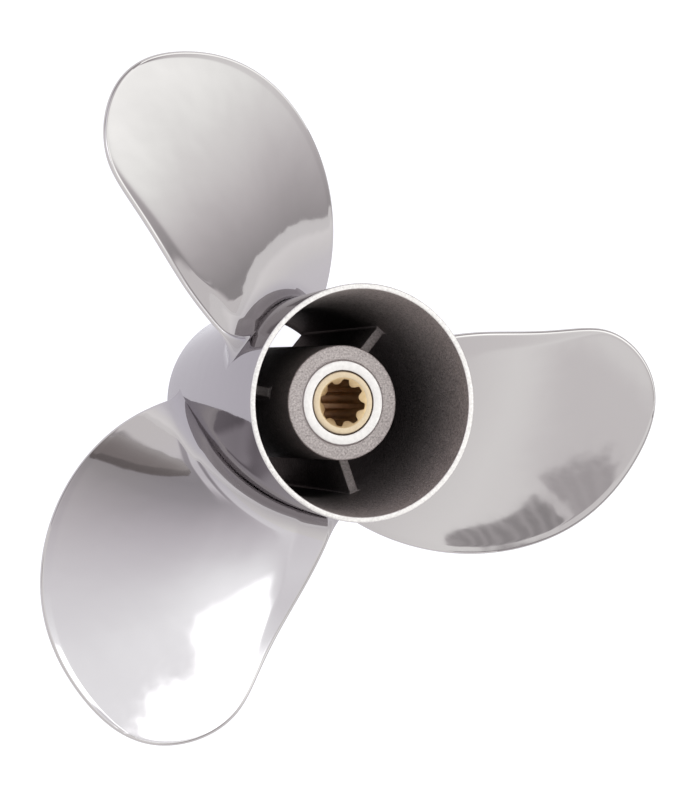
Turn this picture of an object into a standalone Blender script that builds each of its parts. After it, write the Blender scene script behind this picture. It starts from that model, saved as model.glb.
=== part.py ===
"""Outboard-motor propeller with three blades and its exhaust through the hub: a stainless-steel
casting round a rubber bushing and a brass sleeve with a splined bore.

Metres, +Z up. The shaft axis is Z, the origin is the centre of the barrel's front end, on which the
propeller stands, and +Z points aft. It is right-handed: seen from aft, it turns clockwise ahead.
"""

import math

import bmesh
import bpy
import numpy as np

GAP = 0.0003  # left between pieces that touch

# Blades: right-handed screw of constant pitch, leaning aft
BLADES = 3
PITCH = 0.2251
RAKE = 0.071  # rise per metre of radius
ROOT_ANGLE = 149.8  # degrees round the axis, near the first blade's trailing root
ROOT_HEIGHT = 0.0706  # height of the screw there
RAKE_FROM = 0.038  # radius at which ROOT_HEIGHT is measured
# Edge of the first blade, from the trailing root round the tip to the leading root: degrees, metres
BLADE_EDGE = (
    (155.0, 0.0334),
    (137.5, 0.0752),
    (133.3, 0.0996),
    (123.0, 0.1161),
    (110.4, 0.1148),
    (95.1, 0.1011),
    (77.9, 0.0724),
    (65.1, 0.0459),
    (58.8, 0.0330),
)
EDGE_THICKNESS = 0.0017
FRONT_CROWN = 0.0028  # how far the front face bulges at the middle of the root
AFT_CROWN = 0.0025
ROOT_FILLET = 0.0085
LEADING_FILLET_SHARE = 0.42  # the fillet is this much of its full size at the leading edge
FILLET_FULL_FROM = 0.35  # share of the chord at which it reaches its full size
END_FLARE_SHARE = 0.15  # how much of the fillet runs on past the blade's two edges
ROOT_SINK = 0.0015  # how far the uncut blade reaches into the barrel
CUP_SLOPE = 0.15  # how much the strip along the trailing edge turns up towards aft
# Width of that strip, which dies out towards the tip: radius, width
CUP_WIDTHS = (
    (0.036, 0.0110),
    (0.047, 0.0095),
    (0.057, 0.0062),
    (0.068, 0.0046),
    (0.080, 0.0030),
    (0.092, 0.0014),
    (0.100, 0.0),
)
CUP_BLEND = 0.0006  # softness of the hollow where the strip begins
BLADE_ROWS = 17
BLADE_COLUMNS = 23
EDGE_STEPS = 6

# Outer barrel: a cone that widens towards aft, with a bell inside its aft end
BARREL_LENGTH = 0.100
BARREL_FRONT_RADIUS = 0.0296
BARREL_AFT_RADIUS = 0.0355
BARREL_FRONT_BORE = 0.0274
PASSAGE_FRONT_RADIUS = 0.0280
PASSAGE_AFT_RADIUS = 0.0294
BELL_DEPTH = 0.034
RIM_INNER_RADIUS = 0.0338
RIM_ROUND = 0.0004
BARREL_STEPS = 72

# Inner barrel, which holds the bushing
INNER_FRONT = 0.005
INNER_AFT = 0.0822
INNER_FRONT_RADIUS = 0.0177
INNER_AFT_RADIUS = 0.0174
INNER_ROUND = 0.0008
BUSHING_BORE = 0.0145
LIP_BORE = 0.0100
LIP_DEPTH = 0.005
SEAT_RADIUS = 0.0129
SEAT_RISE = 0.0007
SEAT_SLOPE = 0.0002
INNER_STEPS = 64

# Ribs between the two barrels
RIB_ANGLES = (50, 170, 290)
RIB_THICKNESS = 0.0024
RIB_FRONT = 0.003
RIB_AFT = 0.066

# Rubber bushing and splined sleeve
BUSHING_FRONT = 0.009
SLEEVE_RADIUS = 0.0096
SLEEVE_FRONT = 0.002
SLEEVE_AFT = 0.0829
SPLINE_TEETH = 8
SPLINE_FLOOR_RADIUS = 0.0071
SPLINE_TIP_RADIUS = 0.0057
SPLINE_FLOOR_SHARE = 0.30  # of one tooth's pitch
SPLINE_TIP_SHARE = 0.33
SPLINE_ANGLE = -9  # degrees to the middle of one groove
COUNTERSINK_RADIUS = 0.0076
COUNTERSINK_DEPTH = 0.0013
SLEEVE_STEPS = 64


def clear_scene():
    for obj in list(bpy.data.objects):
        bpy.data.objects.remove(obj, do_unlink=True)


def new_collection(name, hidden=False):
    collection = bpy.data.collections.new(name)
    collection.hide_render = hidden
    bpy.context.scene.collection.children.link(collection)
    return collection


def new_material(name, color, roughness, metallic):
    material = bpy.data.materials.new(name)
    material.use_nodes = True
    shader = material.node_tree.nodes["Principled BSDF"]
    shader.inputs["Base Color"].default_value = (*color, 1.0)
    shader.inputs["Roughness"].default_value = roughness
    shader.inputs["Metallic"].default_value = metallic
    material.diffuse_color = (*color, 1.0)
    return material


def add_object(name, mesh, collection, material=None):
    obj = bpy.data.objects.new(name, mesh)
    collection.objects.link(obj)
    if material:
        mesh.materials.clear()
        mesh.materials.append(material)
        mesh.shade_smooth()
        mesh.set_sharp_from_angle(angle=math.radians(35))
    else:
        obj.hide_render = True
        obj.display_type = "WIRE"
    return obj


def turned_mesh(name, profile):
    """Closed outline of (radius, height) points in the XZ plane, for a Screw modifier to turn."""
    mesh = bpy.data.meshes.new(name)
    count = len(profile)
    edges = [(i, (i + 1) % count) for i in range(count)]
    mesh.from_pydata([(radius, 0, height) for radius, height in profile], edges, [])
    return mesh


def turn(obj, steps):
    screw = obj.modifiers.new("Turn", "SCREW")
    screw.steps = steps
    screw.render_steps = steps
    screw.use_merge_vertices = True
    screw.merge_threshold = 0.00001


def cut(obj, cutter):
    boolean = obj.modifiers.new("Cut", "BOOLEAN")
    boolean.operation = "DIFFERENCE"
    boolean.object = cutter


def barrel_radius(height):
    return BARREL_FRONT_RADIUS + (BARREL_AFT_RADIUS - BARREL_FRONT_RADIUS) * height / BARREL_LENGTH


def passage_radius(height):
    share = height / (BARREL_LENGTH - BELL_DEPTH)
    return PASSAGE_FRONT_RADIUS + (PASSAGE_AFT_RADIUS - PASSAGE_FRONT_RADIUS) * share


def inner_radius(height):
    share = (height - INNER_FRONT) / (INNER_AFT - INNER_FRONT)
    return INNER_FRONT_RADIUS + (INNER_AFT_RADIUS - INNER_FRONT_RADIUS) * share


def spline_curve(points, samples):
    """Cubic spline through evenly spaced knots; its first two spans, and its last two, are one cubic."""
    knots = np.array(points, float)
    count = len(knots)
    matrix = np.zeros((count, count))
    right = np.zeros_like(knots)
    matrix[0, :3] = matrix[-1, -3:] = 1, -2, 1
    for i in range(1, count - 1):
        matrix[i, i - 1 : i + 2] = 1, 4, 1
        right[i] = 6 * (knots[i - 1] - 2 * knots[i] + knots[i + 1])
    bend = np.linalg.solve(matrix, right)
    at = np.linspace(0, count - 1, samples)
    span = np.minimum(at.astype(int), count - 2)
    after = (at - span)[:, None]
    before = 1 - after
    straight = before * knots[span] + after * knots[span + 1]
    return straight + ((before**3 - before) * bend[span] + (after**3 - after) * bend[span + 1]) / 6


def helix_height(angle, radius):
    advance = PITCH * (angle - math.radians(ROOT_ANGLE)) / math.tau
    return ROOT_HEIGHT + advance + RAKE * (radius - RAKE_FROM)


def helix_frame(angle, radius):
    """Point of the blade's middle surface, with its tangents round the axis and outwards."""
    cos, sin = np.cos(angle), np.sin(angle)
    rise = np.full_like(cos, PITCH / math.tau)
    lean = np.full_like(cos, RAKE)
    point = np.stack([radius * cos, radius * sin, helix_height(angle, radius)], -1)
    around = np.stack([-radius * sin, radius * cos, rise], -1)
    outward = np.stack([cos, sin, lean], -1)
    return point, around, outward


def unit(vectors):
    return vectors / np.linalg.norm(vectors, axis=-1, keepdims=True)


def aft_normal(around, outward):
    return unit(np.cross(outward, around))


def inset_edge():
    """Angle and radius along the blade's edge, moved inwards by the radius of its rounding."""
    edge = spline_curve([(math.radians(a), r) for a, r in BLADE_EDGE], 600)
    point, around, outward = helix_frame(edge[:, 0], edge[:, 1])
    along = unit(np.gradient(point, axis=0))
    aside = np.cross(aft_normal(around, outward), along)
    metric = np.empty((len(edge), 2, 2))
    metric[:, 0, 0] = (around * around).sum(1)
    metric[:, 1, 1] = (outward * outward).sum(1)
    metric[:, 0, 1] = metric[:, 1, 0] = (around * outward).sum(1)
    wanted = np.stack([(around * aside).sum(1), (outward * aside).sum(1)], -1)
    step = np.linalg.solve(metric, wanted[..., None])[..., 0]
    edge -= step * EDGE_THICKNESS / 2
    head = edge[0] + (edge[0] - edge[20]) * 0.8
    tail = edge[-1] + (edge[-1] - edge[-21]) * 0.8
    return np.vstack([head, edge, tail])


def blade_grid():
    """Angle and radius of the middle surface at each row, root to tip, and column, leading to trailing."""
    edge = inset_edge()
    tip = edge[:, 1].argmax()
    trailing = edge[: tip + 1]
    leading = edge[tip:][::-1]
    column = 0.5 - 0.5 * np.cos(np.linspace(0.12, 0.88, BLADE_COLUMNS) * math.pi)
    column = (column - column[0]) / (column[-1] - column[0])
    reach = edge[tip, 1] - barrel_radius(helix_height(edge[tip, 0], 0.0335))
    swing = np.radians([15, 30, 46, 66, 90])
    foot = np.concatenate([[-ROOT_SINK], ROOT_FILLET * (1 - np.cos(swing))]) / reach
    start = math.asin(foot[-1])
    upper = np.sin(np.linspace(start, math.pi / 2, BLADE_ROWS + 1)[1:])
    row = np.concatenate([foot, upper])[:, None]

    base = np.full(BLADE_COLUMNS, 0.0335)
    for _ in range(4):
        first = np.interp(base, leading[:, 1], leading[:, 0])
        last = np.interp(base, trailing[:, 1], trailing[:, 0])
        base = barrel_radius(helix_height(first + (last - first) * column, base))
    radius = base + (edge[tip, 1] - base) * row
    first = np.interp(radius, leading[:, 1], leading[:, 0])
    last = np.interp(radius, trailing[:, 1], trailing[:, 0])
    return first + (last - first) * column, radius, np.clip(row, 0, 1), column


def fillet(height, column):
    """Extra half-thickness at a height above the barrel, as a quarter circle tangent to both."""
    size = ROOT_FILLET * np.interp(column, (0, FILLET_FULL_FROM), (LEADING_FILLET_SHARE, 1))
    left = np.clip(1 - height / size, 0, 1)
    return size * (1 - np.sqrt(1 - left**2))


def lifted(point, direction, amount, height):
    """Point moved along a direction, then put back at its height above the barrel near the root."""
    moved = point + direction * np.asarray(amount)[..., None]
    radius = np.hypot(moved[..., 0], moved[..., 1])
    wanted = barrel_radius(moved[..., 2]) + height
    weight = np.clip(1.5 - height / ROOT_FILLET, 0, 1)
    moved[..., :2] *= (1 + weight * (wanted / radius - 1))[..., None]
    return moved


def blade_mesh(name):
    """Two faces lofted from root to tip, joined by a rounded edge."""
    angle, radius, row, column = blade_grid()
    point, around, outward = helix_frame(angle, radius)
    normal = aft_normal(around, outward)
    height = radius - barrel_radius(point[..., 2])
    chord = np.linalg.norm(around[:, -1], axis=-1) * (angle[:, -1] - angle[:, 0])
    from_trailing = (1 - column) * chord[:, None]
    inside = np.interp(radius, *np.transpose(CUP_WIDTHS)) - from_trailing
    curl = CUP_SLOPE * (inside + np.sqrt(inside**2 + CUP_BLEND**2)) / 2
    point = point + normal * curl[..., None]

    flare = fillet(height, column)
    half = EDGE_THICKNESS / 2 + flare
    swell = (1 - row**2) * 4 * column * (1 - column)
    aft = lifted(point, normal, half + AFT_CROWN * swell, height)
    front = lifted(point, -normal, half + FRONT_CROWN * swell, height)

    path = [(i, BLADE_COLUMNS - 1) for i in range(len(row))] + [(i, 0) for i in range(len(row) - 2, -1, -1)]
    rows, columns = np.array(path).T
    rim = point[rows, columns]
    along = np.gradient(rim, axis=0)
    aside = unit(np.cross(normal[rows, columns], along))
    turns = [math.pi * k / EDGE_STEPS for k in range(1, EDGE_STEPS)]
    rounding = []
    beyond = (EDGE_THICKNESS / 2 + flare * END_FLARE_SHARE)[rows, columns, None]
    for turn_angle in turns:
        sideways = normal[rows, columns] * half[rows, columns, None] * math.cos(turn_angle)
        rounding.append(lifted(rim, sideways + aside * beyond * math.sin(turn_angle), 1.0, height[rows, columns]))

    shape = bmesh.new()
    tip = len(row) - 1

    def face_of(points):
        grid = [[shape.verts.new(p) for p in line] for line in points[:tip]]
        peak = shape.verts.new(points[tip, 0])
        for lower, upper in zip(grid, grid[1:]):
            for j in range(BLADE_COLUMNS - 1):
                shape.faces.new((lower[j], upper[j], upper[j + 1], lower[j + 1]))
        for j in range(BLADE_COLUMNS - 1):
            shape.faces.new((grid[-1][j], peak, grid[-1][j + 1]))
        return grid + [[peak] * BLADE_COLUMNS]

    aft_grid = face_of(aft)
    front_grid = face_of(front)
    rings = [[aft_grid[i][j] for i, j in path]]
    rings += [[shape.verts.new(p) for p in ring] for ring in rounding]
    rings += [[front_grid[i][j] for i, j in path]]
    for one, other in zip(rings, rings[1:]):
        for k in range(len(path) - 1):
            shape.faces.new((one[k], one[k + 1], other[k + 1], other[k]))
    for j in range(BLADE_COLUMNS - 1):
        shape.faces.new((aft_grid[0][j], aft_grid[0][j + 1], front_grid[0][j + 1], front_grid[0][j]))
    shape.faces.new([ring[0] for ring in rings])
    shape.faces.new([ring[-1] for ring in rings])
    bmesh.ops.recalc_face_normals(shape, faces=shape.faces)
    mesh = bpy.data.meshes.new(name)
    shape.to_mesh(mesh)
    shape.free()
    return mesh


def make_outer_barrel(parts, steel):
    bell = BARREL_LENGTH - BELL_DEPTH
    profile = (
        (BARREL_AFT_RADIUS - RIM_ROUND, BARREL_LENGTH),
        (barrel_radius(BARREL_LENGTH - RIM_ROUND), BARREL_LENGTH - RIM_ROUND),
        (barrel_radius(RIM_ROUND), RIM_ROUND),
        (BARREL_FRONT_RADIUS - RIM_ROUND, 0),
        (BARREL_FRONT_BORE, 0),
        (passage_radius(RIB_FRONT), RIB_FRONT),
        (PASSAGE_AFT_RADIUS, bell),
        (PASSAGE_AFT_RADIUS + (RIM_INNER_RADIUS - PASSAGE_AFT_RADIUS) * 0.28, bell + BELL_DEPTH * 0.2),
        (PASSAGE_AFT_RADIUS + (RIM_INNER_RADIUS - PASSAGE_AFT_RADIUS) * 0.62, bell + BELL_DEPTH * 0.5),
        (RIM_INNER_RADIUS, BARREL_LENGTH - RIM_ROUND),
        (RIM_INNER_RADIUS + RIM_ROUND, BARREL_LENGTH),
    )
    barrel = add_object("outer_barrel", turned_mesh("outer_barrel", profile), parts, steel)
    turn(barrel, BARREL_STEPS)


def make_inner_barrel(parts, steel):
    profile = (
        (SEAT_RADIUS - SEAT_SLOPE, INNER_AFT + SEAT_RISE),
        (SEAT_RADIUS, INNER_AFT),
        (INNER_AFT_RADIUS - INNER_ROUND, INNER_AFT),
        (inner_radius(INNER_AFT - INNER_ROUND), INNER_AFT - INNER_ROUND),
        (INNER_FRONT_RADIUS, INNER_FRONT),
        (BUSHING_BORE, INNER_FRONT),
        (BUSHING_BORE, INNER_AFT - LIP_DEPTH),
        (LIP_BORE, INNER_AFT - LIP_DEPTH),
        (LIP_BORE, INNER_AFT + SEAT_RISE),
    )
    barrel = add_object("inner_barrel", turned_mesh("inner_barrel", profile), parts, steel)
    turn(barrel, INNER_STEPS)


def make_ribs(parts, steel):
    outline = (
        (inner_radius(RIB_FRONT) + GAP, RIB_FRONT + INNER_FRONT),
        (passage_radius(RIB_FRONT + INNER_FRONT) - GAP, RIB_FRONT + INNER_FRONT),
        (passage_radius(RIB_AFT) - GAP, RIB_AFT),
        (inner_radius(RIB_AFT) + GAP, RIB_AFT),
    )
    curve = bpy.data.curves.new("rib", "CURVE")
    curve.dimensions = "2D"
    curve.fill_mode = "BOTH"
    curve.extrude = RIB_THICKNESS / 2
    line = curve.splines.new("POLY")
    line.points.add(len(outline) - 1)
    for point, (radius, height) in zip(line.points, outline):
        point.co = (radius, height, 0, 1)
    line.use_cyclic_u = True
    guide = bpy.data.objects.new("rib_guide", curve)
    parts.objects.link(guide)
    evaluated = guide.evaluated_get(bpy.context.evaluated_depsgraph_get())
    mesh = bpy.data.meshes.new_from_object(evaluated)
    bpy.data.objects.remove(guide)
    for number, angle in enumerate(RIB_ANGLES, 1):
        rib = add_object(f"rib_{number}", mesh, parts, steel)
        rib.rotation_euler = (math.pi / 2, 0, math.radians(angle))


def make_blades(parts, cutters, steel):
    reach = 0.01
    clearance = (
        (0, BARREL_LENGTH + reach),
        (barrel_radius(BARREL_LENGTH + reach) + GAP, BARREL_LENGTH + reach),
        (barrel_radius(-reach) + GAP, -reach),
        (0, -reach),
    )
    cutter = add_object("barrel_clearance", turned_mesh("barrel_clearance", clearance), cutters)
    turn(cutter, BARREL_STEPS)
    mesh = blade_mesh("blade")
    for number in range(BLADES):
        blade = add_object(f"blade_{number + 1}", mesh, parts, steel)
        blade.rotation_euler.z = -math.tau * number / BLADES
        cut(blade, cutter)


def make_bushing(parts, rubber):
    outer = BUSHING_BORE - GAP
    inner = SLEEVE_RADIUS + GAP
    aft = INNER_AFT - LIP_DEPTH - GAP
    profile = ((outer, aft), (outer, BUSHING_FRONT), (inner, BUSHING_FRONT), (inner, aft))
    bushing = add_object("rubber_bushing", turned_mesh("rubber_bushing", profile), parts, rubber)
    turn(bushing, INNER_STEPS)


def spline_outline():
    """Bore of the sleeve: straight-sided grooves between teeth that point inwards."""
    pitch = math.tau / SPLINE_TEETH
    points = []
    for tooth in range(SPLINE_TEETH):
        middle = math.radians(SPLINE_ANGLE) + pitch * tooth
        for share, radius in (
            (-SPLINE_FLOOR_SHARE / 2, SPLINE_FLOOR_RADIUS),
            (0, SPLINE_FLOOR_RADIUS),
            (SPLINE_FLOOR_SHARE / 2, SPLINE_FLOOR_RADIUS),
            (0.5 - SPLINE_TIP_SHARE / 2, SPLINE_TIP_RADIUS),
            (0.5, SPLINE_TIP_RADIUS),
            (0.5 + SPLINE_TIP_SHARE / 2, SPLINE_TIP_RADIUS),
        ):
            angle = middle + pitch * share
            points.append((radius * math.cos(angle), radius * math.sin(angle)))
    return points


def make_sleeve(parts, cutters, brass):
    length = SLEEVE_AFT - SLEEVE_FRONT
    shape = bmesh.new()
    bmesh.ops.create_cone(
        shape,
        cap_ends=True,
        segments=SLEEVE_STEPS,
        radius1=SLEEVE_RADIUS,
        radius2=SLEEVE_RADIUS,
        depth=length,
    )
    mesh = bpy.data.meshes.new("splined_sleeve")
    shape.to_mesh(mesh)
    shape.free()
    sleeve = add_object("splined_sleeve", mesh, parts, brass)
    sleeve.location.z = SLEEVE_FRONT + length / 2

    shape = bmesh.new()
    loop = [shape.verts.new((x, y, 0)) for x, y in spline_outline()]
    bottom = shape.faces.new(loop)
    top = bmesh.ops.extrude_face_region(shape, geom=[bottom])["geom"]
    top = [v for v in top if isinstance(v, bmesh.types.BMVert)]
    bmesh.ops.translate(shape, verts=top, vec=(0, 0, BARREL_LENGTH))
    bmesh.ops.recalc_face_normals(shape, faces=shape.faces)
    mesh = bpy.data.meshes.new("spline_bore")
    shape.to_mesh(mesh)
    shape.free()
    bore = add_object("spline_bore", mesh, cutters)
    cut(sleeve, bore)

    slope = COUNTERSINK_RADIUS - SPLINE_TIP_RADIUS
    drop = COUNTERSINK_DEPTH
    for name, end, side in (("aft_countersink", SLEEVE_AFT, 1), ("front_countersink", SLEEVE_FRONT, -1)):
        shape = bmesh.new()
        bmesh.ops.create_cone(
            shape,
            cap_ends=True,
            segments=SLEEVE_STEPS,
            radius1=SPLINE_TIP_RADIUS - slope,
            radius2=COUNTERSINK_RADIUS + slope,
            depth=3 * drop,
        )
        mesh = bpy.data.meshes.new(name)
        shape.to_mesh(mesh)
        shape.free()
        sink = add_object(name, mesh, cutters)
        sink.location.z = end - side * drop / 2
        sink.rotation_euler.x = 0 if side > 0 else math.pi
        cut(sleeve, sink)


def main():
    clear_scene()
    parts = new_collection("boat_propeller")
    cutters = new_collection("cutters", hidden=True)
    polished = new_material("polished_steel", (0.72, 0.71, 0.73), 0.08, 1.0)
    blasted = new_material("blasted_steel", (0.30, 0.29, 0.28), 0.55, 0.9)
    brass = new_material("brass", (0.80, 0.62, 0.36), 0.25, 1.0)
    rubber = new_material("rubber", (0.02, 0.02, 0.02), 0.8, 0.0)
    make_outer_barrel(parts, polished)
    make_inner_barrel(parts, blasted)
    make_ribs(parts, blasted)
    make_blades(parts, cutters, polished)
    make_bushing(parts, rubber)
    make_sleeve(parts, cutters, brass)


main()
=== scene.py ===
"""Stainless-steel outboard propeller: three blades, exhaust through the hub, standing on its front end.

Metres, +Z up and aft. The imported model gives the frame, and the pieces below stand for its solids.
"""

import math

import bmesh
import bpy
import numpy as np
from mathutils import Matrix, Vector


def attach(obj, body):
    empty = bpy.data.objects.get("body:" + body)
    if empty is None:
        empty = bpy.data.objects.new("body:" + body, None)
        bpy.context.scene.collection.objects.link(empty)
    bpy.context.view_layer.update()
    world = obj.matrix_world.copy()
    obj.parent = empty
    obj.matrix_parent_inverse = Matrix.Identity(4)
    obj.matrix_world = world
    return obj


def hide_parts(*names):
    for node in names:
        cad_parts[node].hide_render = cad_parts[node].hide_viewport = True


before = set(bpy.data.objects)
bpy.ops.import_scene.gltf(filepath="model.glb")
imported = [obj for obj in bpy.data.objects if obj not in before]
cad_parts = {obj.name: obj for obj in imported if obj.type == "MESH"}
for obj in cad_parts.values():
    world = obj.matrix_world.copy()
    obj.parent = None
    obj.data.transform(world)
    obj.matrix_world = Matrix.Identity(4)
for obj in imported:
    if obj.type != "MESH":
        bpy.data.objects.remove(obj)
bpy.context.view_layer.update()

# Camera: a long lens above and to the left of the standing propeller, which sees its aft end.
LENS = 134.1
SENSOR_WIDTH = 36.0
CAMERA_PLACE = (-0.3177, 0.0032, 0.9222)
PICTURE_RIGHT = Vector((0.93468, 0.0, 0.35550))
TOWARDS_CAMERA = Vector((-0.35550, 0.00262, 0.93467))

camera_data = bpy.data.cameras.new("camera")
camera_data.lens = LENS
camera_data.sensor_width = SENSOR_WIDTH
camera = bpy.data.objects.new("camera", camera_data)
bpy.context.scene.collection.objects.link(camera)
picture_up = TOWARDS_CAMERA.cross(PICTURE_RIGHT).normalized()
turn = Matrix((PICTURE_RIGHT, picture_up, TOWARDS_CAMERA)).transposed()
camera.matrix_world = Matrix.Translation(CAMERA_PLACE) @ turn.to_4x4()
bpy.context.scene.camera = camera
bpy.context.scene.view_settings.view_transform = "Standard"


# Studio: a pale table inside a tent of white cloth. Polished steel mirrors all of it: walls that fade
# towards the table, a lamp and a doorway on the left, and a grey folded cloth below the picture.
class Shade:
    """One value or colour in a node tree, to which Python's operators add Math nodes."""

    def __init__(self, tree, socket=None):
        self.tree = tree
        self.socket = socket

    def node(self, kind, settings=None, values=None, out=0):
        """Any node: its settings are set first, then its sockets' values or links."""
        made = self.tree.nodes.new(kind)
        for name, value in (settings or {}).items():
            if name == "stops":
                ramp = made.color_ramp
                while len(ramp.elements) < len(value):
                    ramp.elements.new(0.5)
                for stop, (place, color) in zip(ramp.elements, value):
                    stop.position = place
                    stop.color = (*color, 1)
            else:
                setattr(made, name, value)
        for name, value in (values or {}).items():
            if isinstance(value, Shade):
                self.tree.links.new(value.socket, made.inputs[name])
            else:
                made.inputs[name].default_value = value
        return Shade(self.tree, made.outputs[out])

    def math(self, operation, *others):
        terms = dict(enumerate((self, *others)))
        return self.node("ShaderNodeMath", {"operation": operation}, terms)

    def __add__(self, other):
        return self.math("ADD", other)

    __radd__ = __add__

    def __mul__(self, other):
        return self.math("MULTIPLY", other)

    __rmul__ = __mul__

    def __sub__(self, other):
        return self.math("SUBTRACT", other)

    def __rsub__(self, other):
        return self * -1 + other

    def __pow__(self, other):
        return self.math("POWER", other)

    def between(self, low, high):
        """0 below low, 1 above high, and smooth between; the other way round where high is lower."""
        sides = {"From Min": min(low, high), "From Max": max(low, high)}
        rise = self.node("ShaderNodeMapRange", {"interpolation_type": "SMOOTHSTEP"}, {"Value": self, **sides})
        return rise if high > low else 1 - rise

    def within(self, start, full, fade, end):
        """1 from full to fade, 0 before start and after end, and smooth between."""
        return self.between(start, full) * self.between(end, fade)

    def levels(self, stops, top=1.0):
        """A grey level read from (value, level) stops, up to a top level."""
        low, high = stops[0][0], stops[-1][0]
        ramp = [((at - low) / (high - low), (level / top,) * 3) for at, level in stops]
        share = self.node("ShaderNodeMapRange", {}, {"Value": self, "From Min": low, "From Max": high})
        return self.node("ShaderNodeValToRGB", {"stops": ramp}, {"Fac": share}) * top

    def blend(self, other, share):
        """This value where share is 0, the other where it is 1."""
        return self + (other - self) * share

    def tint(self, dark, light):
        """A colour between two, by this value."""
        values = {"Factor": self, 6: (*dark, 1), 7: (*light, 1)}
        return self.node("ShaderNodeMix", {"data_type": "RGBA"}, values, 2)

    def colored(self, green, blue):
        """This value as red, with a green and a blue one."""
        return self.node("ShaderNodeCombineColor", {}, {"Red": self, "Green": green, "Blue": blue})


def split(place):
    """The three numbers of a direction or place."""
    return [place.node("ShaderNodeSeparateXYZ", {}, {"Vector": place}, axis) for axis in range(3)]


sky = bpy.data.worlds.new("tent")
sky.use_nodes = True
direction = Shade(sky.node_tree).node("ShaderNodeTexCoord", out="Generated")
east, north, up = split(direction)
tilt = up.math("ARCCOSINE") * math.degrees(1)  # 0 overhead, 90 at the horizon
bearing = north.math("ARCTAN2", east) * math.degrees(1)  # 0 at the picture's right, 90 at its top
ripple = direction.node("ShaderNodeTexNoise", {}, {"Vector": direction, "Scale": 7.0, "Detail": 0.6}) - 0.5

# The walls' brightness by tilt. The right wall fades sooner, and the back wall later, further round.
RIGHT_WALL = ((20, 1.6), (46, 2.3), (58, 1.84), (66, 1.30), (74, 0.98), (82, 0.74), (94, 0.49))
BACK_WALL = ((14, 1.50), (34, 1.25), (46, 0.96), (54, 0.75), (62, 0.56), (70, 0.47), (77, 0.54), (90, 0.66))
BACK_WALL_DROP = ((104, 0), (120, 3), (128, 6), (144, 8), (152, 10))
FRONT_WALL = ((30, 1.25), (46, 1.19), (54, 1.25), (70, 1.10), (90, 1.05))
right_wall_rise = (bearing - 6).math("MAXIMUM", 0) ** 2 * 0.022
right_wall = (tilt + right_wall_rise).levels(RIGHT_WALL, 2.4)
back_wall = (tilt - bearing.levels(BACK_WALL_DROP, 20)).levels(BACK_WALL, 2)
front_wall = tilt.levels(FRONT_WALL, 2)
tent = right_wall.blend(back_wall, bearing.between(33, 80)).blend(front_wall, bearing.between(153, 161))
tent = tent.blend(front_wall, bearing.between(-15, -45))

# A white skirt hangs from a brighter hem at the foot of the right and back walls.
SKIRT_LEVEL = 1.02
HEM_GLOW = 0.25
skirt_span = bearing.within(31, 33, 98, 108)
tent = tent.blend(SKIRT_LEVEL, skirt_span * tilt.between(77, 80))

# The lamp shines through the cloth at the upper left and lights the wall round it, above a doorway.
LAMP_GLOW = 1.6
SPILL_GLOW = 0.35
DOOR_GLOW = 0.5
lamp_side = bearing + (tilt - 18) * 0.3
lamp_foot = tilt - (bearing - 136) * 0.3
lamp = lamp_side.between(133.6, 135.2) * bearing.between(159, 154)
lamp = lamp * lamp_foot.between(33, 28) * tilt.between(12, 14)
spill = bearing.within(112, 140, 150, 166) * tilt.within(20, 30, 33, 48)
door = bearing.within(121, 128, 144, 150) * tilt.within(65, 73, 90, 98)
tent = tent + lamp * LAMP_GLOW + spill * SPILL_GLOW + door * DOOR_GLOW

# The grey cloth hangs in two lengths with a slit between them, and its folds show as bands.
CLOTH_DEPTH = 0.61
RIGHT_LENGTH_FADE = 0.23
FOLD_DEPTH = 0.14
SLIT_SHARE = 0.85
HAZE_DEPTH = 0.12
below_hem = tilt + (bearing + 86) * 0.29 + ripple * 0.8
left_length = below_hem.between(48.5, 48.3) * bearing.between(-104.5, -103.5) * tilt.between(56, 54)
right_length = below_hem.between(49.6, 49.4) * (bearing + ripple * 6).between(-59, -60)
to_right = bearing.between(-76, -74)
past_slit = bearing + (tilt - 43) * 0.9 + ripple * 3
slit = past_slit.within(-76.0, -75.5, -73.4, -72.9)
cloth = left_length.blend(right_length, to_right) * (1 - slit * SLIT_SHARE)
fold_distance = ((bearing + 118) ** 2 + ((tilt - 47) * 2.2) ** 2) ** 0.5
folds = ((fold_distance * 1.9 + ripple * 12).math("SINE") * 0.5 + 0.5) ** 2 * (1 - to_right * 0.6)
haze = tilt.between(52, 44) * (bearing + ripple * 8).between(-84, -72) * bearing.between(-46, -52)
tent = tent * (1 - cloth * (CLOTH_DEPTH - to_right * RIGHT_LENGTH_FADE - folds * FOLD_DEPTH))
tent = tent * (1 - haze * HAZE_DEPTH) + skirt_span * tilt.within(74.6, 75.2, 75.8, 76.4) * HEM_GLOW

# The dim parts of the tent are slightly magenta, and the back wall is bluer.
bright = tent.between(0.6, 1.6)
tent_green = tent * (0.97 + bright * 0.06)
tent_blue = tent * (0.985 + bright * 0.02 + bearing.between(85, 112) * 0.05)
background = sky.node_tree.nodes["Background"]
sky.node_tree.links.new(tent.colored(tent_green, tent_blue).socket, background.inputs["Color"])
background.inputs["Strength"].default_value = 1.0
bpy.context.scene.world = sky

# The table glows rather than being lit, as painted light: white under the hub, dimmer round it as painted
# shade, brighter again out to 0.33 m, then dimmer far out.
TABLE_RADIUS = 3.0
TABLE_GREY = 0.25
TABLE_PAINTED_GLOW = ((0.045, 1.0), (0.07, 0.90), (0.12, 0.86), (0.33, 0.98), (0.48, 0.82), (TABLE_RADIUS, 0.80))
table_mesh = bpy.data.meshes.new("floor")
shape = bmesh.new()
bmesh.ops.create_circle(shape, cap_ends=True, radius=TABLE_RADIUS, segments=64)
shape.to_mesh(table_mesh)
shape.free()
floor = bpy.data.objects.new("floor", table_mesh)
bpy.context.scene.collection.objects.link(floor)

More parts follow.
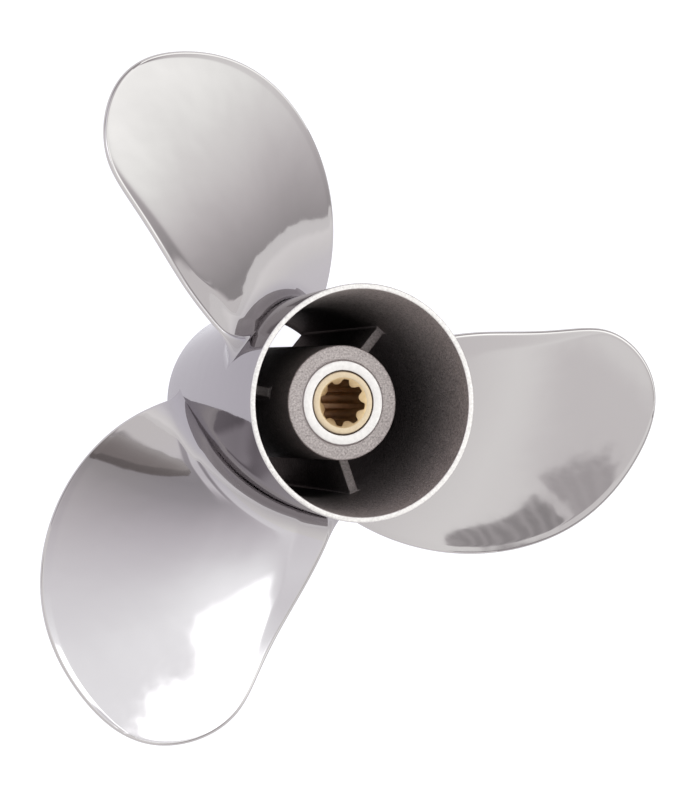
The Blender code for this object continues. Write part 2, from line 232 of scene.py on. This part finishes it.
table_paint = bpy.data.materials.new("floor")
table_paint.use_nodes = True
table_shader = table_paint.node_tree.nodes["Principled BSDF"]
table_shader.inputs["Base Color"].default_value = (TABLE_GREY, TABLE_GREY, TABLE_GREY, 1)
table_shader.inputs["Roughness"].default_value = 0.9
table_shader.inputs["Specular IOR Level"].default_value = 0.0
east, north, _ = split(Shade(table_paint.node_tree).node("ShaderNodeTexCoord", out="Object"))
from_hub = (east * east + north * north) ** 0.5
painted_glow = from_hub.levels(TABLE_PAINTED_GLOW, 2)
# Painted shade: the glow is bluer within 0.2 m of the hub.
painted_glow = painted_glow.colored(painted_glow, painted_glow * (1 + from_hub.between(0.20, 0.08) * 0.06))
table_paint.node_tree.links.new(painted_glow.socket, table_shader.inputs["Emission Color"])
table_shader.inputs["Emission Strength"].default_value = 1.0
table_mesh.materials.append(table_paint)


# Outer barrel: the cone that the blades stand on, part of the one steel casting. Its outside is
# mirror-polished, its aft rim is faced on a lathe, and its inside, with a flared bell aft, is blasted.
BARREL_LENGTH = 0.100
BARREL_FRONT_RADIUS = 0.0296
BARREL_AFT_RADIUS = 0.0355
FRONT_BORE_RADIUS = 0.0274
AFT_BORE_RADIUS = 0.0338
BELL = ((0.0294, 0.066), (0.0301, 0.0705), (0.0312, 0.0770), (0.03225, 0.0845), (0.0332, 0.0925))
WALL_SKIN = 0.0008  # less than the wall's thickness everywhere
STEPS_ROUND = 240
SHARP_ANGLE = 35


def barrel_radius(height):
    return BARREL_FRONT_RADIUS + (BARREL_AFT_RADIUS - BARREL_FRONT_RADIUS) * height / BARREL_LENGTH


def turned(outline, steps, corner_steps=4):
    """A closed outline of (radius, height, corner rounding), rounded and spun about Z."""
    shape = bmesh.new()
    corners = [shape.verts.new((r, 0, z)) for r, z, _ in outline]
    for one, other in zip(corners, corners[1:] + corners[:1]):
        shape.edges.new((one, other))
    for corner, (_, _, rounding) in zip(corners, outline):
        if rounding:
            bmesh.ops.bevel(shape, geom=[corner], offset=rounding, segments=corner_steps,
                            profile=0.5, affect="VERTICES", material=-1)
    bmesh.ops.spin(shape, geom=shape.verts[:] + shape.edges[:], cent=(0, 0, 0), axis=(0, 0, 1),
                   angle=math.tau, steps=steps, use_merge=True)
    bmesh.ops.remove_doubles(shape, verts=shape.verts, dist=1e-6)
    bmesh.ops.recalc_face_normals(shape, faces=shape.faces)
    return shape


def piece(name, shape, paints, stands_for):
    """A finished piece of the propeller, in place of one of its solids."""
    mesh = bpy.data.meshes.new(name)
    shape.to_mesh(mesh)
    shape.free()
    for paint in paints:
        mesh.materials.append(paint)
    mesh.shade_smooth()
    mesh.set_sharp_from_angle(angle=math.radians(SHARP_ANGLE))
    made = bpy.data.objects.new(name, mesh)
    bpy.context.scene.collection.objects.link(made)
    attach(made, "root")
    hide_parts(stands_for)


def finish(name, metallic=1.0, **looks):
    """A material: what varies over the surface is linked, and what doesn't is set on the shader."""
    made = bpy.data.materials.new(name)
    made.use_nodes = True
    shader = made.node_tree.nodes["Principled BSDF"]
    shader.inputs["Metallic"].default_value = metallic
    place = Shade(made.node_tree).node("ShaderNodeTexCoord", out="Object")
    for socket, look in looks.items():
        value = look(place) if callable(look) else look
        target = shader.inputs[socket.replace("_", " ").title()]
        if isinstance(value, Shade):
            made.node_tree.links.new(value.socket, target)
        else:
            target.default_value = value
    return made


def mottle(place, size, detail=2.0, roughness=0.5):
    """Soft noise from 0 to 1 with blotches of a size in metres."""
    values = {"Vector": place, "Scale": 1 / size, "Detail": detail, "Roughness": roughness}
    return place.node("ShaderNodeTexNoise", {}, values)


def stretched(place, x, y, z):
    return place.node("ShaderNodeMapping", {}, {"Vector": place, "Scale": (x, y, z)})


def relief(height):
    """A surface height in metres, as a shading normal."""
    return height.node("ShaderNodeBump", {}, {"Height": height, "Distance": 1.0}, 0)


def axis_radius(place):
    x, y, _ = split(place)
    return (x * x + y * y) ** 0.5


def above_barrel(place):
    """Distance outward from the barrel's cone."""
    slope = (BARREL_AFT_RADIUS - BARREL_FRONT_RADIUS) / BARREL_LENGTH
    return axis_radius(place) - (split(place)[2] * slope + BARREL_FRONT_RADIUS)


def polish_waves(place):
    """The hand polisher's low waves, and finer ones across them."""
    return relief(mottle(place, 0.034, 0) * 0.00030 + mottle(place, 0.009, 1) * 0.00004)


def steel_and_painted_shade(place):
    """Warm grey, with painted shade: darker and bluer down in the blades' root fillets and on the barrel."""
    # Painted shade close to the barrel's cone, fading out 1.5 to 8.5 mm above it.
    clear_of_painted_shade = (above_barrel(place) + mottle(place, 0.020) * 0.002).between(0.0015, 0.0085)
    return clear_of_painted_shade.tint((0.370, 0.350, 0.370), (0.490, 0.465, 0.468))


polished = finish(
    "polished_steel",
    base_color=steel_and_painted_shade,
    specular_tint=(0.70, 0.685, 0.69, 1),
    roughness=lambda place: 0.03 + 0.05 * mottle(stretched(place, 1, 1, 6), 0.004),
    normal=polish_waves,
)


def lathe_lines(place, pitch=0.00025):
    """Fine rings round the axis, broken by a little grain."""
    rings = (axis_radius(place) * (math.tau / pitch)).math("SINE") * 0.5 + 0.5
    return rings * 0.35 + mottle(place, 0.0008) * 0.65


def machined_color(place):
    """Bright, and pitted on the barrel's rim, which was faced more coarsely than the washer's ring."""
    pits = (0.5 - mottle(place, 0.0008, 3)) * axis_radius(place).between(0.02, 0.03) * 1.1
    return (lathe_lines(place) - pits).tint((0.51, 0.487, 0.481), (0.735, 0.699, 0.694))


machined = finish(
    "machined_steel",
    base_color=machined_color,
    roughness=lambda place: 0.30 + 0.2 * mottle(place, 0.0015),
    normal=lambda place: relief(lathe_lines(place) * 0.000012),
)

# Painted shade: how light the blasted steel is at each height, darker the deeper it lies inside the barrel.
PAINTED_SHADE_BY_HEIGHT = ((0.035, 0.027), (0.052, 0.10), (0.066, 0.30), (0.078, 0.52), (0.088, 0.69), (0.0985, 0.74))
END_FACE_LEVEL = 0.62
# Painted light: how much lighter the inside is above and below the axis.
UPPER_LOWER_LIGHT_GAIN = 260
# Painted shade on the inner barrel's side.
INNER_SIDE_SHADE = 0.5
# Painted highlight on the ribs' aft ends.
RIB_EDGE_HIGHLIGHT = 0.045
# Painted shade on the left rib's aft end.
LEFT_RIB_SHADE = 0.6


def blasted_with_painted_light(place):
    """Grey and grainy, with painted shade that darkens it the deeper it lies inside the barrel, on the inner
    barrel's side and on the left rib's end, painted light above and below the axis, and a painted highlight
    on the ribs' aft ends.
    """
    x, y, z = split(place)
    radius = axis_radius(place)
    grain = mottle(place, 0.0006, 2, 0.6) * 1.6 + 0.2
    # Painted light: lighter above and below the axis than at the sides.
    painted_lightness = z.levels(PAINTED_SHADE_BY_HEIGHT) * (1 + y * y * UPPER_LOWER_LIGHT_GAIN)
    # Painted shade on the inner barrel's side; its aft face keeps one level.
    inner_barrel_side = radius.within(0.0172, 0.0176, 0.0180, 0.0183)
    inner_barrel_end = z.between(0.0812, 0.0815) * radius.between(0.0185, 0.0181)
    painted_lightness = (painted_lightness * (1 - inner_barrel_side * INNER_SIDE_SHADE)).blend(END_FACE_LEVEL, inner_barrel_end)
    # Painted highlight on the ribs' aft ends.
    rib_end = z.within(0.0648, 0.0654, 0.0662, 0.0668) * radius.within(0.0180, 0.0186, 0.0278, 0.0284)
    # Painted shade on the aft end of the rib on the left.
    left_rib_in_shade = x.within(-0.0275, -0.0200, -0.014, -0.010)
    return (grain * painted_lightness + rib_end * RIB_EDGE_HIGHLIGHT) * (1 - left_rib_in_shade * rib_end * LEFT_RIB_SHADE)


blasted = finish(
    "blasted_steel",
    base_color=lambda place: blasted_with_painted_light(place).tint((0.0, 0.0, 0.0), (0.660, 0.592, 0.582)),
    specular_tint=(0.60, 0.56, 0.55, 1),
    roughness=lambda place: 0.50 + 0.15 * mottle(place, 0.003),
    normal=lambda place: relief(mottle(place, 0.0008, 3) * 0.00016),
)

outline = [
    (BARREL_AFT_RADIUS, BARREL_LENGTH, 0.0004),
    (BARREL_FRONT_RADIUS, 0.0, 0.0003),
    (FRONT_BORE_RADIUS, 0.0, 0.0003),
    (FRONT_BORE_RADIUS + 0.0006, 0.003, 0.0008),
    *[(radius, height, 0) for radius, height in BELL],
    (AFT_BORE_RADIUS, BARREL_LENGTH, 0.0003),
]
shape = turned(outline, STEPS_ROUND, 5)
for face in shape.faces:
    middle = face.calc_center_median()
    if face.normal.z > 0.6:
        face.material_index = 1
    elif middle.xy.length < barrel_radius(middle.z) - WALL_SKIN:
        face.material_index = 2
piece("hub_barrel", shape, (polished, machined, blasted), "outer_barrel")


# Blades: three broad blades on a right-hand screw of constant pitch, leaning aft, cast in one with
# the barrel and polished by hand; a wide fillet joins each to the barrel.
PITCH = 0.2251
RAKE = 0.071
RAKE_FROM = 0.038
ROOT_ANGLE = math.radians(149.8)
ROOT_HEIGHT = 0.0706
BLADE_EDGE = ((155.0, 0.0334), (137.5, 0.0752), (133.3, 0.0996), (123.0, 0.1161), (110.4, 0.1148),
              (95.1, 0.1011), (77.9, 0.0724), (65.1, 0.0459), (58.8, 0.0330))
EDGE_THICKNESS = 0.0017
FRONT_CROWN = 0.0028
AFT_CROWN = 0.0025
FILLET = 0.0085
LEADING_FILLET = 0.42
FULL_FILLET_FROM = 0.35
END_FLARE = 0.15
CUP_SLOPE = 0.15
CUP_WIDTHS = ((0.036, 0.0110), (0.047, 0.0095), (0.057, 0.0062), (0.068, 0.0046), (0.080, 0.0030),
              (0.092, 0.0014), (0.100, 0.0))
LEADING_SLOPE = 0.022
LEADING_WIDTHS = ((0.036, 0.0), (0.050, 0.0012), (0.065, 0.0022), (0.085, 0.0032), (0.105, 0.0040),
                  (0.116, 0.0044))
FOOT_RADIUS = 0.0325  # the barrel's radius half way along a blade's root
SKIRT_DEPTH = 0.0008
CHORD_STEPS = 100
SPAN_STEPS = 84
FILLET_STEPS = 16
ROUND_STEPS = 8
CROWDING = 0.32
EDGE_SAMPLES = 1200
RUN_ON = 40
RUN_ON_GAIN = 1.2
FRONT_NORMAL = -0.25


def front_painted_shade(place):
    """Painted shade: darker grey than the aft faces, and darker still in a strip along each trailing edge."""
    x, y, _ = split(place)
    in_third = (y.math("ARCTAN2", x) * math.degrees(1) + 360).math("MODULO", 120)
    strip = in_third.within(11.4, 12.2, 25, 30)
    shine = (mottle(place, 0.030) * 0.5 + 0.5) * (1 - strip * 0.8)
    return shine.tint((0.160, 0.144, 0.142), (0.300, 0.271, 0.267))


front_shaded_polish = finish(
    "front_faces_painted_shade",
    base_color=front_painted_shade,
    roughness=lambda place: 0.04 + 0.05 * mottle(stretched(place, 1, 1, 6), 0.004),
    normal=polish_waves,
)


def spline_through(points, samples):
    """Cubic spline through evenly spaced knots, whose first two and last two spans share a cubic."""
    knots = np.array(points, float)
    count = len(knots)
    matrix = np.zeros((count, count))
    right = np.zeros_like(knots)
    matrix[0, :3] = matrix[-1, -3:] = 1, -2, 1
    for i in range(1, count - 1):
        matrix[i, i - 1:i + 2] = 1, 4, 1
        right[i] = 6 * (knots[i - 1] - 2 * knots[i] + knots[i + 1])
    bend = np.linalg.solve(matrix, right)
    at = np.linspace(0, count - 1, samples)
    span = np.minimum(at.astype(int), count - 2)
    after = (at - span)[:, None]
    before = 1 - after
    curve = before * knots[span] + after * knots[span + 1]
    return curve + ((before**3 - before) * bend[span] + (after**3 - after) * bend[span + 1]) / 6


def screw_height(angle, radius):
    return ROOT_HEIGHT + PITCH * (angle - ROOT_ANGLE) / math.tau + RAKE * (radius - RAKE_FROM)


def screw_frame(angle, radius):
    """Point of the blade's middle surface, its unit normal aft, and its two tangents."""
    cos, sin = np.cos(angle), np.sin(angle)
    point = np.stack([radius * cos, radius * sin, screw_height(angle, radius)], -1)
    around = np.stack([-radius * sin, radius * cos, np.full_like(cos, PITCH / math.tau)], -1)
    outward = np.stack([cos, sin, np.full_like(cos, RAKE)], -1)
    normal = np.cross(outward, around)
    return point, normal / np.linalg.norm(normal, axis=-1, keepdims=True), around, outward


def inset_edge():
    """Angle and radius along the blade's edge, moved in by the radius of its rounding."""
    edge = spline_through([(math.radians(angle), radius) for angle, radius in BLADE_EDGE], EDGE_SAMPLES)
    point, normal, around, outward = screw_frame(edge[:, 0], edge[:, 1])
    along = np.gradient(point, axis=0)
    along /= np.linalg.norm(along, axis=-1, keepdims=True)
    aside = np.cross(normal, along)
    metric = np.stack([around, outward], 1) @ np.stack([around, outward], 2)
    wanted = np.stack([(around * aside).sum(1), (outward * aside).sum(1)], -1)
    edge -= np.linalg.solve(metric, wanted[..., None])[..., 0] * EDGE_THICKNESS / 2
    # Both ends run on a little, down into the barrel.
    head = edge[0] + (edge[0] - edge[RUN_ON]) * RUN_ON_GAIN
    tail = edge[-1] + (edge[-1] - edge[-1 - RUN_ON]) * RUN_ON_GAIN
    return np.vstack([head, edge, tail])


def soft_ramp(value, softness):
    """0 below 0 and the value above it, with a soft bend."""
    return (value + np.sqrt(value ** 2 + softness ** 2)) / 2


def blade_shape():
    """One blade: a grid from leading to trailing edge and from root to tip, thickened and rounded."""
    edge = inset_edge()
    tip = edge[:, 1].argmax()
    trailing, leading = edge[:tip + 1], edge[tip:][::-1]

    def chord_angles(radius):
        first = np.interp(radius, leading[:, 1], leading[:, 0])
        last = np.interp(radius, trailing[:, 1], trailing[:, 0])
        return first, last - first

    # Columns crowd towards both edges. Rows: a skirt inside the barrel, the fillet's quarter circle,
    # then the blade out to its tip.
    column = np.linspace(0, 1, CHORD_STEPS + 1)
    column = column - CROWDING * np.sin(math.tau * column) / math.tau * 2
    swing = np.linspace(0, math.pi / 2, FILLET_STEPS + 1)
    foot_height = np.concatenate([[-SKIRT_DEPTH, -0.00003], FILLET * (1 - np.cos(swing))])
    reach = edge[tip, 1] - FOOT_RADIUS
    start = math.asin(FILLET / reach)
    upper = np.sin(np.linspace(start, math.pi / 2, SPAN_STEPS + 1)[1:])
    rows = len(foot_height) + len(upper)

    base = np.full(CHORD_STEPS + 1, FOOT_RADIUS)
    for _ in range(5):
        first, width = chord_angles(base)
        base = barrel_radius(screw_height(first + width * column, base))
    share = np.concatenate([foot_height / reach, upper])[:, None]
    radius = base + (edge[tip, 1] - base) * share
    radius[:len(foot_height)] = base + foot_height[:, None]
    first, width = chord_angles(radius)
    angle = first + width * column
    point, normal, around, _ = screw_frame(angle, radius)

    # The fillet flares the root, the cup turns the trailing edge aft, and the leading edge is thinned.
    height = radius - barrel_radius(point[..., 2])
    height[:len(foot_height)] = foot_height[:, None]
    fillet = FILLET * np.interp(column, (0, FULL_FILLET_FROM), (LEADING_FILLET, 1))
    flare = fillet * (1 - np.sqrt(1 - np.clip(1 - height / fillet, 0, 1) ** 2))
    flare[:2] += SKIRT_DEPTH
    chord = np.linalg.norm(around[:, -1], axis=-1) * width[:, 0]
    in_cup = np.interp(radius, *np.transpose(CUP_WIDTHS)) - (1 - column) * chord[:, None]
    point = point + normal * (CUP_SLOPE * soft_ramp(in_cup, 0.0006))[..., None]
    in_leading = np.interp(radius, *np.transpose(LEADING_WIDTHS)) - column * chord[:, None]
    thinned = LEADING_SLOPE * soft_ramp(in_leading, 0.0004)
    half = EDGE_THICKNESS / 2 + flare
    swell = (1 - np.clip(share, 0, 1) ** 2) * 4 * column * (1 - column)

    # Outward direction in the surface along the rim of the grid: trailing side, tip, leading side.
    last = rows - 1
    path = [(i, CHORD_STEPS) for i in range(rows)] + [(i, 0) for i in range(last - 1, -1, -1)]
    at = tuple(np.array(path).T)
    along = np.gradient(point[at], axis=0)
    aside = np.cross(normal[at], along)
    aside /= np.linalg.norm(aside, axis=-1, keepdims=True)
    outward = np.zeros_like(point)
    outward[at] = aside
    outward[last] = aside[last]

    def lifted(row, col, step):
        """A grid point moved by a step, and near the root put back to its height over the barrel."""
        moved = point[row, col] + step
        distance = math.hypot(moved[0], moved[1])
        wanted = barrel_radius(moved[2]) + height[row, col]
        weight = min(max(1.6 - height[row, col] / FILLET, 0), 1)
        weight = weight * weight * (3 - 2 * weight)
        moved[:2] *= 1 + weight * (wanted / distance - 1)
        return moved

    shape = bmesh.new()
    bmesh.ops.create_grid(shape, x_segments=CHORD_STEPS, y_segments=rows - 1, size=0.5)
    grown = bmesh.ops.extrude_face_region(shape, geom=shape.faces[:])["geom"]
    lift = [vert for vert in grown if isinstance(vert, bmesh.types.BMVert)]
    bmesh.ops.translate(shape, verts=lift, vec=(0, 0, ROUND_STEPS))
    upright = [edge for edge in shape.edges if edge.verts[0].co.z != edge.verts[1].co.z]
    bmesh.ops.subdivide_edges(shape, edges=upright, cuts=ROUND_STEPS - 1)
    for vert in shape.verts:
        col = round((vert.co.x + 0.5) * CHORD_STEPS)
        row = round((vert.co.y + 0.5) * (rows - 1))
        step = round(vert.co.z)
        if step == 0:
            rise = half[row, col] + AFT_CROWN * swell[row, col] - thinned[row, col]
            vert.co = lifted(row, col, normal[row, col] * rise)
        elif step == ROUND_STEPS:
            drop = half[row, col] + FRONT_CROWN * swell[row, col]
            vert.co = lifted(row, col, -normal[row, col] * drop)
        else:
            bend = math.pi * step / ROUND_STEPS
            through = normal[row, col] * half[row, col] * math.cos(bend)
            if row == 0 and 0 < col < CHORD_STEPS:
                vert.co = lifted(row, col, through)
            else:
                beyond = EDGE_THICKNESS / 2 + END_FLARE * flare[row, col]
                vert.co = lifted(row, col, through + outward[row, col] * beyond * math.sin(bend))
    bmesh.ops.remove_doubles(shape, verts=shape.verts, dist=2e-6)
    bmesh.ops.recalc_face_normals(shape, faces=shape.faces)
    return shape


master = blade_shape()
for number in range(3):
    shape = master.copy()
    third = Matrix.Rotation(-math.tau * number / 3, 3, "Z")
    bmesh.ops.rotate(shape, verts=shape.verts, cent=(0, 0, 0), matrix=third)
    # Faces that look down at the table take the darker copy of the polish, as painted shade.
    for face in shape.faces:
        if face.normal.z < FRONT_NORMAL:
            face.material_index = 1
    name = f"blade_{number + 1}"
    piece(f"polished_{name}", shape, (polished, front_shaded_polish), name)
master.free()


# Inner barrel: the tube of the same casting that holds the bushing. It is left as blasted, but for
# the raised ring round its bore, faced bright on a lathe for the washer under the nut.
INNER_AFT = 0.0822
INNER_FRONT = 0.005
INNER_RADIUS = 0.0177
BUSHING_BORE = 0.0145
LIP_BORE = 0.0098
LIP_FRONT = 0.0772
SEAT_RISE = 0.0007
SEAT_RADIUS = 0.0130

outline = [
    (SEAT_RADIUS - 0.0003, INNER_AFT + SEAT_RISE, 0.0003),
    (SEAT_RADIUS, INNER_AFT, 0.0004),
    (INNER_RADIUS - 0.0003, INNER_AFT, 0.0005),
    (INNER_RADIUS, INNER_FRONT, 0.0005),
    (BUSHING_BORE, INNER_FRONT, 0.0004),
    (BUSHING_BORE, LIP_FRONT, 0.0003),
    (LIP_BORE, LIP_FRONT, 0.0003),
    (LIP_BORE, INNER_AFT + SEAT_RISE, 0.00025),
]
shape = turned(outline, 180)
for face in shape.faces:
    middle = face.calc_center_median()
    if middle.z > INNER_AFT - 0.001 and middle.xy.length < SEAT_RADIUS + 0.00005:
        face.material_index = 1
piece("cast_inner_barrel", shape, (blasted, machined), "inner_barrel")


# Ribs: three thin walls of the casting that carry the inner barrel, with a fillet at each end and
# the exhaust passing between them. They thicken and shorten a little towards the front.
RIB_ANGLES = (50, 170, 290)
RIB_FRONT = 0.0004
RIB_AFT = 0.066
RIB_INNER, RIB_OUTER = 0.0177, 0.0278
RIB_HALF = 0.0011
RIB_DRAFT = 0.0004
RIB_FILLET = 0.0009
RIB_BUTT = 0.0012
RIB_SINK = 0.0010
AFT_SHIFT, AFT_SPREAD = -0.0002, 0.0018
RIB_ROUNDING = 0.0004

for number, angle in enumerate(RIB_ANGLES, 1):
    shape = bmesh.new()
    plan = [(RIB_INNER - RIB_SINK, RIB_HALF + RIB_BUTT), (RIB_INNER - 0.0002, RIB_HALF + RIB_BUTT),
            (RIB_INNER - 0.0001, RIB_HALF), (RIB_OUTER + 0.0001, RIB_HALF),
            (RIB_OUTER + 0.0001, RIB_HALF + RIB_BUTT), (RIB_OUTER + RIB_SINK, RIB_HALF + RIB_BUTT)]
    plan += [(reach, -half) for reach, half in plan[::-1]]
    corners = [shape.verts.new((reach, half, RIB_FRONT)) for reach, half in plan]
    for one, other in zip(corners, corners[1:] + corners[:1]):
        shape.edges.new((one, other))
    inward = [corner for corner in corners if abs(abs(corner.co.y) - RIB_HALF) < 1e-5]
    bmesh.ops.bevel(shape, geom=inward, offset=RIB_FILLET, segments=6,
                    profile=0.5, affect="VERTICES", material=-1)
    bmesh.ops.contextual_create(shape, geom=shape.edges[:])
    grown = bmesh.ops.extrude_face_region(shape, geom=shape.faces[:])["geom"]
    for vert in grown:
        if isinstance(vert, bmesh.types.BMVert):
            share = (vert.co.x - RIB_INNER) / (RIB_OUTER - RIB_INNER)
            vert.co.x += AFT_SHIFT + AFT_SPREAD * min(max(share, 0), 1)
            vert.co.z = RIB_AFT
    for vert in shape.verts:
        if vert.co.z < RIB_AFT:
            vert.co.y += math.copysign(RIB_DRAFT, vert.co.y)
    arris = [edge for edge in shape.edges if all(vert.co.z > RIB_AFT - 1e-5 for vert in edge.verts)]
    arris = [edge for edge in arris if all(abs(vert.co.y) < RIB_HALF + 0.0007 for vert in edge.verts)]
    bmesh.ops.bevel(shape, geom=arris, offset=RIB_ROUNDING, segments=3,
                    profile=0.5, affect="EDGES", material=-1)
    bmesh.ops.rotate(shape, verts=shape.verts, matrix=Matrix.Rotation(math.radians(angle), 3, "Z"))
    bmesh.ops.recalc_face_normals(shape, faces=shape.faces)
    piece(f"cast_rib_{number}", shape, (blasted,), f"rib_{number}")


# Bushing: a thick tube of black rubber pressed into the inner barrel and bonded to the sleeve, which
# slips before the gears break. Its front end is dished.
BUSHING_OUTER, BUSHING_INNER = 0.01448, 0.00964
BUSHING_FRONT, BUSHING_AFT = 0.009, 0.0764

rubber = finish(
    "black_rubber",
    metallic=0.0,
    base_color=lambda place: mottle(place, 0.0015).tint((0.012, 0.012, 0.012), (0.030, 0.029, 0.028)),
    roughness=lambda place: 0.62 + 0.2 * mottle(place, 0.0008),
    normal=lambda place: relief(mottle(place, 0.0006) * 0.00003),
)
outline = [
    (BUSHING_OUTER, BUSHING_AFT, 0.0003),
    (BUSHING_OUTER, BUSHING_FRONT, 0.0006),
    (0.0132, BUSHING_FRONT + 0.0004, 0.0003),
    (0.0121, BUSHING_FRONT + 0.0014, 0.0008),
    (0.0108, BUSHING_FRONT + 0.0008, 0.0004),
    (BUSHING_INNER, BUSHING_FRONT, 0.0003),
    (BUSHING_INNER, BUSHING_AFT, 0.0003),
]
piece("pressed_bushing", turned(outline, 120), (rubber,), "rubber_bushing")


# Splined sleeve: a turned brass tube with eight broached grooves, whose round-topped teeth take the
# motor's shaft; both ends are countersunk. The bore keeps a film of dark grease.
SLEEVE_RADIUS = 0.0096
SLEEVE_FRONT, SLEEVE_AFT = 0.002, 0.0829
SLEEVE_CHAMFER = 0.0003
TEETH = 8
GROOVE_ANGLE = math.radians(-9)
FLOOR_RADIUS, TIP_RADIUS = 0.0071, 0.0057
FLOOR_SHARE, TIP_SHARE = 0.30, 0.33
FLOOR_ROUNDING, TIP_ROUNDING = 0.0003, 0.0006
SINK_RADIUS, SINK_DEPTH = 0.0076, 0.0013
BORE_LIMIT = 0.0073
SHARP_ARRIS, ARRIS_ROUNDING = 0.45, 0.00012

brass = finish(
    "turned_brass",
    base_color=lambda place: lathe_lines(place, 0.0003).tint((0.40, 0.315, 0.225), (0.56, 0.46, 0.335)),
    roughness=lambda place: 0.24 + 0.15 * mottle(place, 0.001),
    normal=lambda place: relief(lathe_lines(place, 0.0003) * 0.000008),
)
# The countersinks take a lighter copy of the brass, as painted light.
countersink_painted_light = finish(
    "countersunk_brass_painted_light",
    base_color=lambda place: mottle(place, 0.0015).tint((0.58, 0.42, 0.22), (0.80, 0.62, 0.38)),
    roughness=0.45,
)


def grease_color(place):
    """Brown streaks along the bore."""
    return mottle(stretched(place, 1, 1, 0.15), 0.0012).tint((0.35, 0.205, 0.10), (0.73, 0.52, 0.29))


greased = finish(
    "greased_brass",
    base_color=grease_color,
    roughness=lambda place: 0.28 + 0.25 * mottle(stretched(place, 1, 1, 0.2), 0.0015),
    normal=lambda place: relief(mottle(stretched(place, 1, 1, 0.1), 0.0008) * 0.00004),
)

shape = bmesh.new()
corners = []
for tooth in range(TEETH):
    for share, radius in ((-FLOOR_SHARE, FLOOR_RADIUS), (FLOOR_SHARE, FLOOR_RADIUS),
                          (1 - TIP_SHARE, TIP_RADIUS), (1 + TIP_SHARE, TIP_RADIUS)):
        angle = GROOVE_ANGLE + math.tau / TEETH * (tooth + share / 2)
        corners.append(shape.verts.new((radius * math.cos(angle), radius * math.sin(angle), 0)))
for one, other in zip(corners, corners[1:] + corners[:1]):
    shape.edges.new((one, other))
half_way = (FLOOR_RADIUS + TIP_RADIUS) / 2
floors = [corner for corner in corners if corner.co.length > half_way]
tips = [corner for corner in corners if corner.co.length < half_way]
for chosen, rounding, segments in ((floors, FLOOR_ROUNDING, 4), (tips, TIP_ROUNDING, 6)):
    bmesh.ops.bevel(shape, geom=chosen, offset=rounding, segments=segments,
                    profile=0.5, affect="VERTICES", material=-1)
long_edges = [edge for edge in shape.edges if edge.calc_length() > 0.0004]
bmesh.ops.subdivide_edges(shape, edges=long_edges, cuts=2)


def angle_key(vert):
    return round(math.atan2(vert.co.y, vert.co.x), 4)


def sink(radius):
    """How far the countersink is cut back at a radius."""
    return SINK_DEPTH * (SINK_RADIUS - radius) / (SINK_RADIUS - TIP_RADIUS)


# The bore's outline at the aft end is drawn over the outside to the front end, then back through.
bore = {angle_key(vert): vert.co.length for vert in shape.verts}
for vert in shape.verts:
    vert.co.z = SLEEVE_AFT - sink(vert.co.length)
edges = shape.edges[:]
stations = [
    (SINK_RADIUS, SLEEVE_AFT),
    (SLEEVE_RADIUS - SLEEVE_CHAMFER, SLEEVE_AFT),
    (SLEEVE_RADIUS, SLEEVE_AFT - SLEEVE_CHAMFER),
    (SLEEVE_RADIUS, SLEEVE_FRONT + SLEEVE_CHAMFER),
    (SLEEVE_RADIUS - SLEEVE_CHAMFER, SLEEVE_FRONT),
    (SINK_RADIUS, SLEEVE_FRONT),
    (0, SLEEVE_FRONT),
    (0, SLEEVE_AFT),
]
for radius, height in stations:
    grown = bmesh.ops.extrude_edge_only(shape, edges=edges)["geom"]
    edges = [edge for edge in grown if isinstance(edge, bmesh.types.BMEdge)]
    for vert in grown:
        if isinstance(vert, bmesh.types.BMVert):
            wanted = radius or bore[angle_key(vert)]
            depth = 0 if radius else sink(wanted)
            vert.co.xy = vert.co.xy.normalized() * wanted
            vert.co.z = height + (depth if height == SLEEVE_FRONT else -depth)
bmesh.ops.remove_doubles(shape, verts=shape.verts, dist=1e-6)
bmesh.ops.recalc_face_normals(shape, faces=shape.faces)
# The bore gets the grease, and the countersinks the lighter copy of the brass as painted light.
for face in shape.faces:
    radius = face.calc_center_median().xy.length
    if radius < BORE_LIMIT and abs(face.normal.z) < 0.3:
        face.material_index = 1
    elif radius < SINK_RADIUS:
        face.material_index = 2
arris = [edge for edge in shape.edges if edge.is_manifold and edge.calc_face_angle() > SHARP_ARRIS]
bmesh.ops.bevel(shape, geom=arris, offset=ARRIS_ROUNDING, segments=2,
                profile=0.5, affect="EDGES", material=-1)
piece("broached_sleeve", shape, (brass, greased, countersink_painted_light), "splined_sleeve")
